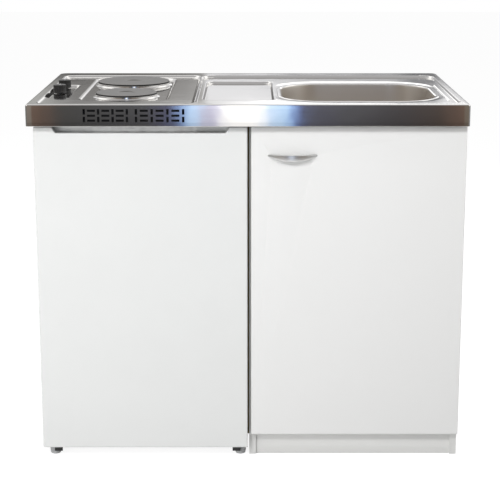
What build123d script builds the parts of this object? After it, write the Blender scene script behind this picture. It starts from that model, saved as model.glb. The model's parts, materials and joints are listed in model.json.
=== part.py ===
from build123d import *
import os

# Kitchenette unit: a pressed steel worktop with a sink bowl and two hotplates, carried by a small
# fridge on the left and a one-door base cabinet on the right. Millimetres, +Z up, the front faces
# -Y, and the origin is the middle of the footprint on the floor. A pair such as (-477, -128) is a
# low and a high coordinate. Depths along Y are counted from the worktop's front edge.

os.makedirs("parts", exist_ok=True)

# Driving dimensions: the worktop
width, depth, height = 1000, 600, 850
apron = 50
sheet = 1.0
foot_flange = 12
front, back = -depth / 2, depth / 2
outline_x, outline_y = (-width / 2, width / 2), (front, back)
apron_foot = height - apron
field = height - 5
recess = height - 9
tray = height - 10
front_corner, back_corner, edge_bend = 6, 20, 4

# Driving dimensions: bowl and waste
bowl_width, bowl_length, bowl_corner, bowl_drop = 368, 315, 100, 150
bowl_x, bowl_y = 262, front + 250.5
bowl_floor = field - bowl_drop
waste_hole = 44.5
pipe, pipe_wall = 20, 2.5
outlet_z, outlet_end, spigot = 575, 290, 40

# Driving dimensions: hob
hob_x = -290
hotplates = {"front": (front + 203, 72.5), "rear": (front + 424, 90.0)}
knob_x = -456
knobs = {"front": front + 257, "rear": front + 351}
knob_radius, knob_foot, knob_top = 15.5, recess + 2, recess + 22
shaft, running = 3.0, 0.05
pan_floor = 804

# Driving dimensions: fridge
fridge_x = (-487, -1)
fridge_z = (36, 798)
body_front, body_back = -226, 214
wall = 30
door_front, door_back = -278, -238
door_z = (24, 796)
pivot_x, pivot_y, pin = -475, -257, 4.0
niche_y, niche_z = 90, 210
shelf_levels = (420, 590)
inner_front = -135

# Driving dimensions: cabinet
board = 16
cabinet_x = (3, 498)
cabinet_y = (-258, 262)
cabinet_door_x, cabinet_door_z = (7.5, 498), (57, 796)
cabinet_door_front = -276
shelf_z = 330
hinge_levels = (150, 690)
hinge_x, hinge_y = cabinet_door_x[1] - 11, -266
handle_x, handle_z, handle_span, handle_reach = 102, 730, 96, 22


def block(x, y, z, mode=Mode.ADD):
    """Adds or cuts the box that fills three low and high pairs."""
    with Locations((sum(x) / 2, sum(y) / 2, sum(z) / 2)):
        Box(x[1] - x[0], y[1] - y[0], z[1] - z[0], mode=mode)


def post(x, y, z, radius, mode=Mode.ADD):
    """Adds or cuts an upright cylinder that fills a low and high pair along Z."""
    with Locations((x, y, sum(z) / 2)):
        Cylinder(radius, z[1] - z[0], mode=mode)


def rod(x, y, z, radius, mode=Mode.ADD):
    """Adds or cuts a cylinder along Y that fills a low and high pair along Y."""
    with Locations(Location((x, sum(y) / 2, z), (90, 0, 0))):
        Cylinder(radius, y[1] - y[0], mode=mode)


def grown(pair, by):
    """Moves both ends of a low and high pair outwards."""
    return (pair[0] - by, pair[1] + by)


def write(built, name):
    """Labels a finished piece and writes its STEP file."""
    built.part.label = name
    export_step(built.part, f"parts/{name}.step")


# Worktop: one sheet with folded skirts, a return fold at their foot, and pressed recesses, each
# given as its X pair, its Y pair, its corner radius and the level of its floor.
pressings = (
    ((-477, -128), (front + 20, front + 545), 25, field),
    ((-116, 482), (front + 20, front + 545), 40, field),
    ((-474, -422), (front + 151, front + 385), 10, recess),
    ((-393, -187), (front + 100, front + 530), 40, recess),
    ((-105, 60), (front + 110, front + 456), 20, tray),
)
vent_z = height - apron / 2
vent_groups = ((-368, 32.2), (-251, 35.3))
upright_slot, upright_levels = (5.4, 12.6), (vent_z - 8.7, vent_z + 8.7)
level_slot, level_levels = (18, 5), (vent_z - 11.2, vent_z, vent_z + 11.2)


def cut_slot(x, z, size):
    """Cuts one air slot through the front skirt."""
    through = (front - 1, front + 2 * sheet)
    block(grown((x, x), size[0] / 2), through, grown((z, z), size[1] / 2), Mode.SUBTRACT)


with BuildPart() as hollow:
    block(grown(outline_x, -sheet), grown(outline_y, -sheet), (apron_foot + sheet, height - sheet))
    fillet(hollow.edges().filter_by(Axis.Z).group_by(Axis.Y)[0], front_corner - sheet)
    fillet(hollow.edges().filter_by(Axis.Z).group_by(Axis.Y)[-1], back_corner - sheet)
    fillet(hollow.edges().group_by(Axis.Z)[-1], edge_bend - sheet)
    for x, y, corner, floor in pressings:
        with BuildSketch(Plane.XY.offset(floor - sheet)) as underside:
            with Locations((sum(x) / 2, sum(y) / 2)):
                RectangleRounded(x[1] - x[0] + 2 * sheet, y[1] - y[0] + 2 * sheet, corner + sheet)
        extrude(amount=height, mode=Mode.SUBTRACT)
    inset = foot_flange + sheet
    block(grown(outline_x, -inset), grown(outline_y, -inset), (apron_foot, apron_foot + sheet))

with BuildPart() as worktop:
    block(outline_x, outline_y, (apron_foot, height))
    fillet(worktop.edges().filter_by(Axis.Z).group_by(Axis.Y)[0], front_corner)
    fillet(worktop.edges().filter_by(Axis.Z).group_by(Axis.Y)[-1], back_corner)
    fillet(worktop.edges().group_by(Axis.Z)[-1], edge_bend)
    for x, y, corner, floor in pressings:
        with BuildSketch(Plane.XY.offset(floor)) as pressing:
            with Locations((sum(x) / 2, sum(y) / 2)):
                RectangleRounded(x[1] - x[0], y[1] - y[0], corner)
        extrude(amount=height, mode=Mode.SUBTRACT)
    add(hollow.part, mode=Mode.SUBTRACT)
    # The short bead beside the bowl
    block((464, 468), (front + 100, front + 380), (field, field + 3))
    # Openings for the bowl, the hotplates and the switch spindles
    with BuildSketch(Plane.XY.offset(field)) as bowl_opening:
        with Locations((bowl_x, bowl_y)):
            RectangleRounded(bowl_width + 2 * sheet + 0.4, bowl_length + 2 * sheet + 0.4, bowl_corner + 1.2)
    extrude(amount=-2 * sheet, mode=Mode.SUBTRACT)
    for y, radius in hotplates.values():
        post(hob_x, y, (recess - 3, recess + 1), radius - 5, Mode.SUBTRACT)
    for y in knobs.values():
        post(knob_x, y, (recess - 3, recess + 1), 5, Mode.SUBTRACT)
    # Air slots in the front skirt: pairs of upright slots with stacks of three level ones between
    for start, pitch in vent_groups:
        for column in range(4):
            for level in upright_levels:
                cut_slot(start + column * pitch, level, upright_slot)
        for column in range(3):
            for level in level_levels:
                cut_slot(start + (column + 0.5) * pitch, level, level_slot)
write(worktop, "worktop")

# Sink bowl: deep-drawn, tapered, with a narrow flange that lies on the worktop
bowl_taper, bowl_bend = 4, 28


def bowl_form(outwards, drop):
    """The tapered block with a rounded foot that fills the bowl, grown outwards by a wall."""
    with BuildPart() as form:
        with BuildSketch(Plane.XY.offset(field)) as mouth:
            with Locations((bowl_x, bowl_y)):
                RectangleRounded(bowl_width, bowl_length, bowl_corner)
            offset(amount=outwards)
        extrude(amount=-drop, taper=bowl_taper)
        fillet(form.edges().group_by(Axis.Z)[0], bowl_bend + outwards)
    return form.part


with BuildPart() as sink_bowl:
    add(bowl_form(sheet, bowl_drop + sheet))
    add(bowl_form(0, bowl_drop), mode=Mode.SUBTRACT)
    with BuildSketch(Plane.XY.offset(field)) as bowl_flange:
        with Locations((bowl_x, bowl_y)):
            RectangleRounded(bowl_width + 16, bowl_length + 16, bowl_corner + 8)
            RectangleRounded(bowl_width, bowl_length, bowl_corner, mode=Mode.SUBTRACT)
    extrude(amount=sheet)
    post(bowl_x, bowl_y, (bowl_floor - 2, bowl_floor + 5), waste_hole, Mode.SUBTRACT)
write(sink_bowl, "sink_bowl")

# Waste: a steel cup in the bowl's floor, a basket that lifts out, and a plastic body below
cup_floor = bowl_floor - 40
with BuildPart() as waste_flange:
    post(bowl_x, bowl_y, (bowl_floor, bowl_floor + 2), 57)
    post(bowl_x, bowl_y, (cup_floor, bowl_floor), 44)
    post(bowl_x, bowl_y, (cup_floor + 1.5, bowl_floor + 2), 42.5, Mode.SUBTRACT)
    with Locations((bowl_x, bowl_y, cup_floor)):
        with PolarLocations(22, 6):
            Cylinder(7, 8, mode=Mode.SUBTRACT)
    fillet(waste_flange.edges().group_by(Axis.Z)[-1].sort_by(SortBy.LENGTH)[-1], 1.2)
write(waste_flange, "waste_flange")

basket_floor = cup_floor + 6
with BuildPart() as strainer_basket:
    post(bowl_x, bowl_y, (basket_floor, bowl_floor + 1), 41.5)
    post(bowl_x, bowl_y, (basket_floor + 1.5, bowl_floor + 1), 40, Mode.SUBTRACT)
    for ring, count in ((17, 6), (30, 10)):
        with Locations((bowl_x, bowl_y, basket_floor)):
            with PolarLocations(ring, count):
                Cylinder(3.2, 8, mode=Mode.SUBTRACT)
    post(bowl_x, bowl_y, (cup_floor + 1.5, bowl_floor - 6), 4)
    post(bowl_x, bowl_y, (bowl_floor - 6, bowl_floor + 2), 9)
    fillet(strainer_basket.edges().group_by(Axis.Z)[-1], 3)
write(strainer_basket, "strainer_basket")

body_floor = cup_floor - 12
spigot_foot = body_floor - 45
with BuildPart() as waste_body:
    post(bowl_x, bowl_y, (body_floor, bowl_floor - sheet), 56)
    post(bowl_x, bowl_y, (body_floor + 3, bowl_floor - sheet), 44.3, Mode.SUBTRACT)
    chamfer(waste_body.edges().group_by(Axis.Z)[0], 6)
    post(bowl_x, bowl_y, (spigot_foot, body_floor), pipe)
    post(bowl_x, bowl_y, (spigot_foot, body_floor + 3), pipe - pipe_wall, Mode.SUBTRACT)
write(waste_body, "waste_body")

# Bottle trap under the waste, with its nuts and the pipe to the wall
trap_top, trap_foot, trap_radius = spigot_foot + 8, spigot_foot - 105, 34
trap_side = bowl_y + 62
with BuildPart() as bottle_trap:
    post(bowl_x, bowl_y, (trap_foot, trap_top), trap_radius)
    rod(bowl_x, (bowl_y, trap_side), outlet_z, pipe + 3)
    fillet(bottle_trap.edges().group_by(Axis.Z)[0], 8)
    post(bowl_x, bowl_y, (trap_foot + 3, trap_top - 3), trap_radius - 3, Mode.SUBTRACT)
    post(bowl_x, bowl_y, (trap_top - 4, trap_top), pipe, Mode.SUBTRACT)
    rod(bowl_x, (bowl_y, trap_side), outlet_z, pipe, Mode.SUBTRACT)
write(bottle_trap, "bottle_trap")

with BuildPart() as trap_outlet:
    rod(bowl_x, (bowl_y + 36, outlet_end), outlet_z, pipe)
    rod(bowl_x, (outlet_end - spigot - 5, outlet_end - spigot), outlet_z, pipe + 4)
    rod(bowl_x, (bowl_y + 36, outlet_end), outlet_z, pipe - pipe_wall, Mode.SUBTRACT)
write(trap_outlet, "trap_outlet")

with BuildPart() as trap_nuts:
    post(bowl_x, bowl_y, (trap_top, trap_top + 16), pipe + 9)
    post(bowl_x, bowl_y, (trap_top, trap_top + 16), pipe, Mode.SUBTRACT)
    rod(bowl_x, (trap_side, trap_side + 16), outlet_z, pipe + 9)
    rod(bowl_x, (trap_side, trap_side + 16), outlet_z, pipe, Mode.SUBTRACT)
write(trap_nuts, "trap_nuts")

# Hotplates: cast discs, each on a pressed spill ring, pulled down by a stud, a bar and a nut
plate_top, plate_foot, rim_foot = recess + 11, recess - 15, recess + 1.5
clamp_z = (recess - 29, recess - 27)
for name, (y, radius) in hotplates.items():
    with BuildPart() as hotplate:
        post(hob_x, y, (rim_foot, plate_top), radius)
        fillet(hotplate.edges().group_by(Axis.Z)[-1], 2)
        post(hob_x, y, (plate_top - 2.5, plate_top), 19, Mode.SUBTRACT)
        post(hob_x, y, (plate_foot, rim_foot), radius - 8)
        post(hob_x, y, (plate_foot, plate_foot + 10), radius - 16, Mode.SUBTRACT)
        post(hob_x, y, (plate_foot, plate_foot + 10), 20)
        post(hob_x, y, (clamp_z[0] - 5, plate_foot), 4)
    write(hotplate, f"hotplate_{name}")

# Each spill ring carries its plate on a flat flange and flares from the plate's rim to the worktop
ring_top, ring_reach, ring_edge = plate_top - 4, 7, 0.8
with BuildPart() as spill_rings:
    for y, radius in hotplates.values():
        with BuildSketch(Plane(origin=(hob_x, y, 0), x_dir=(1, 0, 0), z_dir=(0, -1, 0))) as ring_section:
            with BuildLine() as ring_outline:
                flare = RadiusArc(
                    (radius + ring_reach, recess + ring_edge), (radius + sheet, ring_top), ring_top - recess
                )
                Polyline(
                    flare @ 1,
                    (radius, ring_top),
                    (radius, rim_foot),
                    (radius - 7.5, rim_foot),
                    (radius - 7.5, recess),
                    (radius + ring_reach, recess),
                    flare @ 0,
                )
            make_face()
        revolve(axis=Axis((hob_x, y, 0), (0, 0, 1)))
write(spill_rings, "spill_rings")

with BuildPart() as hotplate_clamps:
    for y, radius in hotplates.values():
        reach = radius + 10
        block(grown((hob_x, hob_x), reach), grown((y, y), 12), clamp_z)
        for side in (-1, 1):
            leg = hob_x + side * (reach - 1)
            block(grown((leg, leg), 1), grown((y, y), 12), (clamp_z[1], recess - sheet))
        post(hob_x, y, clamp_z, 4, Mode.SUBTRACT)
        post(hob_x, y, (clamp_z[0] - 4, clamp_z[0]), 7)
        post(hob_x, y, (clamp_z[0] - 4, clamp_z[0]), 4, Mode.SUBTRACT)
write(hotplate_clamps, "hotplate_clamps")

# Hob controls: two rotary switches on a bracket under the worktop, their spindles and knobs
switch_top = recess - sheet - 2
with BuildPart() as switch_bracket:
    block(grown((knob_x, knob_x), 18), grown(tuple(knobs.values()), 27), (switch_top, recess - sheet))
    for y in knobs.values():
        post(knob_x, y, (switch_top, recess), 5, Mode.SUBTRACT)
write(switch_bracket, "switch_bracket")

with BuildPart() as hob_switches:
    for y in knobs.values():
        block(grown((knob_x, knob_x), 17), grown((y, y), 21), (switch_top - 27, switch_top))
        post(knob_x, y, (switch_top - 20, switch_top), shaft + running, Mode.SUBTRACT)
write(hob_switches, "hob_switches")

for name, y in knobs.items():
    with BuildPart() as spindle:
        post(knob_x, y, (switch_top - 19.5, knob_top - 5), shaft)
    write(spindle, f"spindle_{name}")
    with BuildPart() as knob:
        post(knob_x, y, (knob_foot, knob_top), knob_radius)
        fillet(knob.edges().group_by(Axis.Z)[-1], 3)
        post(knob_x, y, (knob_foot, knob_top - 5), shaft, Mode.SUBTRACT)
        post(knob_x, y, (knob_foot, knob_foot + 3), knob_radius - 2, Mode.SUBTRACT)
        post(knob_x, y, (knob_foot, knob_foot + 3), 6)
        post(knob_x, y, (knob_foot, knob_foot + 3), shaft, Mode.SUBTRACT)
    write(knob, f"knob_{name}")

# Hob pan: a shallow tray that closes the wiring space under the hob, with its terminals and gland
pan_x, pan_y = (-476, -159), (front + 24, front + 541)
pan_top = field - sheet
gland_x, gland_z = -215, pan_floor + 18
with BuildPart() as hob_pan:
    block(pan_x, pan_y, (pan_floor, pan_top))
    block(grown(pan_x, -sheet), grown(pan_y, -sheet), (pan_floor + sheet, pan_top), Mode.SUBTRACT)
    rod(gland_x, (pan_y[1] - 2, pan_y[1] + 1), gland_z, 8, Mode.SUBTRACT)
write(hob_pan, "hob_pan")

with BuildPart() as terminal_block:
    terminal_y, terminal_top = pan_y[1] - 48, pan_floor + 19
    terminal_x = grown((gland_x, gland_x), 24)
    block(terminal_x, grown((terminal_y, terminal_y), 12), (pan_floor + sheet, terminal_top))
    for terminal in range(4):
        post(gland_x - 18 + 12 * terminal, terminal_y, (terminal_top - 7, terminal_top), 3.2, Mode.SUBTRACT)
write(terminal_block, "terminal_block")

with BuildPart() as cable_gland:
    rod(gland_x, (pan_y[1] - 5, pan_y[1]), gland_z, 8)
    rod(gland_x, (pan_y[1], pan_y[1] + 5), gland_z, 12)
    rod(gland_x, (pan_y[1] + 5, pan_y[1] + 16), gland_z, 9)
    rod(gland_x, (pan_y[1] - 5, pan_y[1] + 16), gland_z, 4.5, Mode.SUBTRACT)
write(cable_gland, "cable_gland")

# Battens: two thin ones between the fridge and the hob pan, one on the cabinet's left side, and an
# upright strip that closes the gap between the fridge and the cabinet
with BuildPart() as support_battens:
    for x in ((-440, -400), (-230, -190)):
        block(x, (front + 100, front + 450), (fridge_z[1], pan_floor))
    block((cabinet_x[0], cabinet_x[0] + board), (front + 115, front + 450), (apron_foot, tray - sheet))
    block((fridge_x[1], cabinet_x[0]), (body_front + 8, body_front + 28), fridge_z)
write(support_battens, "support_battens")

# Fridge body: a steel casing with a niche for the compressor, foam, and a moulded liner with
# ledges for the shelves. The three are cut from stepped prisms that differ by a wall.
inner_x = grown(fridge_x, -wall)
inner_z = (fridge_z[0] + wall + 4, fridge_z[1] - wall - 2)
inner_back = body_back - 39
step_y, step_z = niche_y - 35, niche_z + 30
liner = 2


def stepped_prism(x, y, z, step):
    """A prism along X whose lower back corner is cut away behind and below the step."""
    with BuildPart() as prism:
        block(x, y, z)
        block(x, (step[0], y[1]), (z[0], step[1]), Mode.SUBTRACT)
    return prism.part


casing_outside = stepped_prism(fridge_x, (body_front, body_back), fridge_z, (niche_y, niche_z))
casing_inside = stepped_prism(
    grown(fridge_x, -sheet),
    (body_front + sheet, body_back - sheet),
    grown(fridge_z, -sheet),
    (niche_y - sheet, niche_z + sheet),
)
liner_outside = stepped_prism(
    grown(inner_x, liner),
    (body_front, inner_back + liner),
    grown(inner_z, liner),
    (step_y + liner, step_z - liner),
)
liner_inside = stepped_prism(inner_x, (body_front, inner_back), inner_z, (step_y, step_z))

with BuildPart() as fridge_casing:
    add(casing_outside)
    add(casing_inside, mode=Mode.SUBTRACT)
    add(liner_outside, mode=Mode.SUBTRACT)
write(fridge_casing, "fridge_casing")

with BuildPart() as fridge_foam:
    add(casing_inside)
    add(liner_outside, mode=Mode.SUBTRACT)
write(fridge_foam, "fridge_foam")

ledge, ledge_height = 8, 6
with BuildPart() as fridge_liner:
    add(liner_outside)
    add(liner_inside, mode=Mode.SUBTRACT)
    for level, ledge_back in (*((level, inner_back) for level in shelf_levels), (step_z, step_y)):
        for x in ((inner_x[0], inner_x[0] + ledge), (inner_x[1] - ledge, inner_x[1])):
            block(x, (inner_front, ledge_back), (level - ledge_height, level))
write(fridge_liner, "fridge_liner")

# Inside the fridge: glass shelves, the crisper with its cover, the cold plate, the thermostat
glass = 4
with BuildPart() as glass_shelves:
    for level in shelf_levels:
        block(grown(inner_x, -2), (inner_front, inner_back - 10), (level, level + glass))
write(glass_shelves, "glass_shelves")

with BuildPart() as crisper_cover:
    block(grown(inner_x, -2), (inner_front, inner_back - 10), (step_z, step_z + glass))
write(crisper_cover, "crisper_cover")

crisper_x, crisper_y = grown(inner_x, -12), (inner_front, step_y - 5)
crisper_z = (inner_z[0], step_z - ledge_height - 4)
with BuildPart() as crisper_bin:
    block(crisper_x, crisper_y, crisper_z)
    block(grown(crisper_x, -3), grown(crisper_y, -3), (crisper_z[0] + 3, crisper_z[1]), Mode.SUBTRACT)
write(crisper_bin, "crisper_bin")

with BuildPart() as evaporator_plate:
    block(grown(inner_x, -50), (inner_back - 2, inner_back), (shelf_levels[1] + 40, inner_z[1] - 30))
write(evaporator_plate, "evaporator_plate")

thermostat_y = -100
thermostat_z = inner_z[1] - 20
thermostat_x = inner_x[1] - 35
with BuildPart() as thermostat_housing:
    block((inner_x[1] - 70, inner_x[1]), (thermostat_y, 40), (inner_z[1] - 40, inner_z[1]))
    fillet(thermostat_housing.edges().filter_by(Axis.Y).group_by(Axis.Z)[0], 6)
    rod(thermostat_x, (thermostat_y, thermostat_y + 12.5), thermostat_z, shaft + running, Mode.SUBTRACT)
write(thermostat_housing, "thermostat_housing")

with BuildPart() as thermostat_knob:
    rod(thermostat_x, (thermostat_y - 12, thermostat_y - 0.4), thermostat_z, 14)
    fillet(thermostat_knob.edges().group_by(Axis.Y)[0], 2)
    rod(thermostat_x, (thermostat_y - 0.4, thermostat_y + 12), thermostat_z, shaft)
write(thermostat_knob, "thermostat_knob")

# Cooling set at the back: a folded carrier that closes the niche's floor and sides, the compressor
# on its rubber feet, the evaporation tray, and the condenser with its brackets
carrier_top = fridge_z[0] + 2
with BuildPart() as compressor_carrier:
    block(fridge_x, (niche_y, body_back), (fridge_z[0], niche_z))
    block(grown(fridge_x, -sheet), (niche_y, body_back), (carrier_top, niche_z), Mode.SUBTRACT)
write(compressor_carrier, "compressor_carrier")

compressor_x, compressor_y, compressor_radius = -330, 150, 56
mount_top = carrier_top + 12
shell_z = (mount_top, mount_top + 118)
with BuildPart() as compressor:
    post(compressor_x, compressor_y, shell_z, compressor_radius)
    fillet(compressor.edges().group_by(Axis.Z)[0], 22)
    fillet(compressor.edges().group_by(Axis.Z)[-1], 22)
    mount_x, mount_y = grown((compressor_x, compressor_x), 80), grown((compressor_y, compressor_y), 42)
    block(mount_x, mount_y, (mount_top - 3, mount_top + 0.5))
    for x in grown(mount_x, -10):
        for y in grown(mount_y, -10):
            post(x, y, (carrier_top, mount_top - 3), 8)
    relay_x = compressor_x + compressor_radius
    relay_z = (mount_top + 38, mount_top + 88)
    block((relay_x - 4, relay_x + 30), grown((compressor_y, compressor_y), 22), relay_z)
write(compressor, "compressor")

drip_x, drip_y = grown((compressor_x, compressor_x), 60), grown((compressor_y, compressor_y), 45)
drip_z = (shell_z[1], shell_z[1] + 16)
with BuildPart() as drip_tray:
    block(drip_x, drip_y, drip_z)
    block(grown(drip_x, -2), grown(drip_y, -2), (drip_z[0] + 2, drip_z[1]), Mode.SUBTRACT)
write(drip_tray, "drip_tray")

coil_y, coil_tube, coil_pitch, coil_runs = body_back + 10, 2.5, 48, 10
coil_foot, coil_turn = 270, 20
coil_ends = (fridge_x[0] + 45, fridge_x[1] - 45)
coil_points = []
for run in range(coil_runs):
    ends = coil_ends if run % 2 == 0 else coil_ends[::-1]
    coil_points += [(end, coil_y, coil_foot + run * coil_pitch) for end in ends]
with BuildPart() as condenser_coil:
    with BuildLine() as coil_path:
        FilletPolyline(*coil_points, radius=coil_turn)
    with BuildSketch(Plane(origin=coil_points[0], z_dir=(1, 0, 0))) as coil_section:
        Circle(coil_tube)
    sweep()
    coil_top = coil_foot + (coil_runs - 1) * coil_pitch
    for x in (coil_ends[0] + 40, coil_ends[1] - 46):
        block((x, x + 6), (body_back, coil_y + 1), (coil_foot - 12, coil_top + 12))
write(condenser_coil, "condenser_coil")

# Fridge door: a steel pan with a finger grip along its top, foam, a liner with a raised frame
# that carries the racks, and the gasket
grip_low, grip_slant, grip_reach = 782, 8, 22
grip_x = (-437, -50)


def door_prism(shrink, y):
    """The door's block with the slanted finger grip cut in its top front, all faces moved in."""
    with BuildPart() as prism:
        block(grown(fridge_x, -shrink), y, grown(door_z, -shrink))
        with BuildSketch(Plane.XZ.offset(5 - door_front)) as grip:
            with BuildLine() as grip_outline:
                Polyline(
                    (grip_x[0] - shrink, grip_low - shrink),
                    (grip_x[1] + shrink, grip_low - shrink),
                    (grip_x[1] + grip_slant + shrink, door_z[1] + 1),
                    (grip_x[0] - grip_slant - shrink, door_z[1] + 1),
                    close=True,
                )
            make_face()
        extrude(amount=-(grip_reach + shrink + 5), mode=Mode.SUBTRACT)
    return prism.part


def cut_pin_holes():
    """Cuts the blind holes for the hinge pins in the door's top and bottom."""
    post(pivot_x, pivot_y, (door_z[1] - 13, door_z[1]), pin + running, Mode.SUBTRACT)
    post(pivot_x, pivot_y, (door_z[0], door_z[0] + 13), pin + running, Mode.SUBTRACT)


with BuildPart() as fridge_door_panel:
    add(door_prism(0, (door_front, door_back)))
    add(door_prism(sheet, (door_front + sheet, door_back)), mode=Mode.SUBTRACT)
    cut_pin_holes()
write(fridge_door_panel, "fridge_door_panel")

liner_face = door_back - liner
with BuildPart() as fridge_door_foam:
    add(door_prism(sheet, (door_front + sheet, liner_face)))
    cut_pin_holes()
write(fridge_door_foam, "fridge_door_foam")

frame_x, frame_z, frame_wall = (-450, -48), (88, 748), 12
frame_y = (door_back, door_back + 20)
with BuildPart() as fridge_door_liner:
    block(grown(fridge_x, -sheet), (liner_face, door_back), grown(door_z, -sheet))
    block(frame_x, frame_y, frame_z)
    block(grown(frame_x, -frame_wall), frame_y, grown(frame_z, -frame_wall), Mode.SUBTRACT)
write(fridge_door_liner, "fridge_door_liner")

gasket_x, gasket_z, gasket_width = grown(fridge_x, -13), grown(door_z, -20), 9
gasket_y = (door_back, body_front - 0.4)
with BuildPart() as door_gasket:
    block(gasket_x, gasket_y, gasket_z)
    block(grown(gasket_x, -gasket_width), gasket_y, grown(gasket_z, -gasket_width), Mode.SUBTRACT)
write(door_gasket, "door_gasket")

rack_x, rack_y, rack_wall = grown(frame_x, -frame_wall), (door_back, -155), 2.5
with BuildPart() as door_racks:
    for low, high in ((112, 200), (400, 465), (600, 665)):
        block(rack_x, rack_y, (low, high))
        block(grown(rack_x, -rack_wall), grown(rack_y, -rack_wall), (low + rack_wall, high), Mode.SUBTRACT)
write(door_racks, "door_racks")

# Fridge hinges and feet: the top plate and the left base bracket carry the door's pins, and each
# base bracket has a lip that hangs in front of one half of its foot
with BuildPart() as top_hinge:
    block((fridge_x[0] + 2, pivot_x + 14), (pivot_y - 10, -190), (fridge_z[1], fridge_z[1] + 2.5))
    post(pivot_x, pivot_y, (door_z[1] - 12, fridge_z[1]), pin)
write(top_hinge, "top_hinge")

foot_y, foot_radius, foot_height, stem = -246, 14, 18, 4.0
feet = {"left": -462, "right": -18}
bracket_y, bracket_z = (pivot_y - 8, -185), (20, 23)
lip_width, lip_foot = 19, 10.5
with BuildPart() as base_brackets:
    for foot_x, inwards in ((feet["left"], 1), (feet["right"], -1)):
        low, high = max(foot_x - 26, fridge_x[0]), min(foot_x + 26, fridge_x[1])
        block((low, high), bracket_y, bracket_z)
        block((low, high), (-234, bracket_y[1]), (bracket_z[1], fridge_z[0]))
        lip_x = sorted((foot_x, foot_x + inwards * lip_width))
        block(lip_x, (bracket_y[0], bracket_y[0] + 3), (lip_foot, bracket_z[0]))
        post(foot_x, foot_y, bracket_z, stem + running, Mode.SUBTRACT)
    post(pivot_x, pivot_y, (bracket_z[1], door_z[0] + 12), pin)
write(base_brackets, "base_brackets")

for name, foot_x in feet.items():
    with BuildPart() as front_foot:
        with Locations((foot_x, foot_y, foot_height / 2)):
            Cone(foot_radius - 2, foot_radius, foot_height)
        fillet(front_foot.edges().group_by(Axis.Z)[-1], 2)
        post(foot_x, foot_y, (foot_height, bracket_z[1] - 0.2), stem)
    write(front_foot, f"front_foot_{name}")

with BuildPart() as rear_feet:
    for foot_x in feet.values():
        post(foot_x, body_back - 24, (0, fridge_z[0]), 12)
write(rear_feet, "rear_feet")

# Cabinet carcass: 16 mm boards
inside_x = grown(cabinet_x, -board)
rail_height, back_rail_height = 60, 80
wall_screw_x, wall_screw_z, wall_screw = (50, 450), 760, 2.5
with BuildPart() as side_panel_left:
    block((cabinet_x[0], inside_x[0]), cabinet_y, (0, apron_foot))
write(side_panel_left, "side_panel_left")

with BuildPart() as side_panel_right:
    block((inside_x[1], cabinet_x[1]), cabinet_y, (0, apron_foot))
write(side_panel_right, "side_panel_right")

plinth_height = 48
with BuildPart() as bottom_panel:
    block(inside_x, cabinet_y, (plinth_height, plinth_height + board))
write(bottom_panel, "bottom_panel")

with BuildPart() as plinth:
    block(inside_x, (cabinet_y[0] + 5, cabinet_y[0] + 5 + board), (0, plinth_height))
write(plinth, "plinth")

with BuildPart() as front_rail:
    block(inside_x, (cabinet_y[0], cabinet_y[0] + board), (apron_foot - rail_height, apron_foot))
write(front_rail, "front_rail")

with BuildPart() as rear_rail:
    block(inside_x, (cabinet_y[1] - board, cabinet_y[1]), (apron_foot - back_rail_height, apron_foot))
    for x in wall_screw_x:
        rod(x, (cabinet_y[1] - board, cabinet_y[1]), wall_screw_z, wall_screw, Mode.SUBTRACT)
write(rear_rail, "rear_rail")

back_y, pipe_gap = (cabinet_y[1], cabinet_y[1] + 3), 60
with BuildPart() as back_panel:
    block(grown(cabinet_x, -2), back_y, (plinth_height, apron_foot - 2))
    block(grown((bowl_x, bowl_x), pipe_gap), back_y, grown((outlet_z, outlet_z), pipe_gap), Mode.SUBTRACT)
    for x in wall_screw_x:
        rod(x, back_y, wall_screw_z, wall_screw, Mode.SUBTRACT)
write(back_panel, "back_panel")

with BuildPart() as shelf:
    block(grown(inside_x, -0.5), (cabinet_y[0] + 30, cabinet_y[1] - 12), (shelf_z, shelf_z + board))
write(shelf, "shelf")

pin_reach = 8
with BuildPart() as shelf_pins:
    for x in ((inside_x[0], inside_x[0] + pin_reach), (inside_x[1] - pin_reach, inside_x[1])):
        for y in (cabinet_y[0] + 70, cabinet_y[1] - 50):
            block(x, grown((y, y), 4), (shelf_z - 6, shelf_z))
write(shelf_pins, "shelf_pins")

# Cabinet door with its bow handle, held by screws from the inside
door_rear = cabinet_door_front + board
cup_radius, cup_depth, cup_inset = 17.5, 11.5, 22.5
cup_x = cabinet_door_x[1] - cup_inset
with BuildPart() as cabinet_door:
    block(cabinet_door_x, (cabinet_door_front, door_rear), cabinet_door_z)
    fillet(cabinet_door.edges().group_by(Axis.Y)[0], 2)
    for level in hinge_levels:
        rod(cup_x, (door_rear - cup_depth, door_rear), level, cup_radius, Mode.SUBTRACT)
    for side in (-1, 1):
        rod(handle_x + side * handle_span / 2, (cabinet_door_front, door_rear), handle_z, 2, Mode.SUBTRACT)
write(cabinet_door, "cabinet_door")

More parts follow.
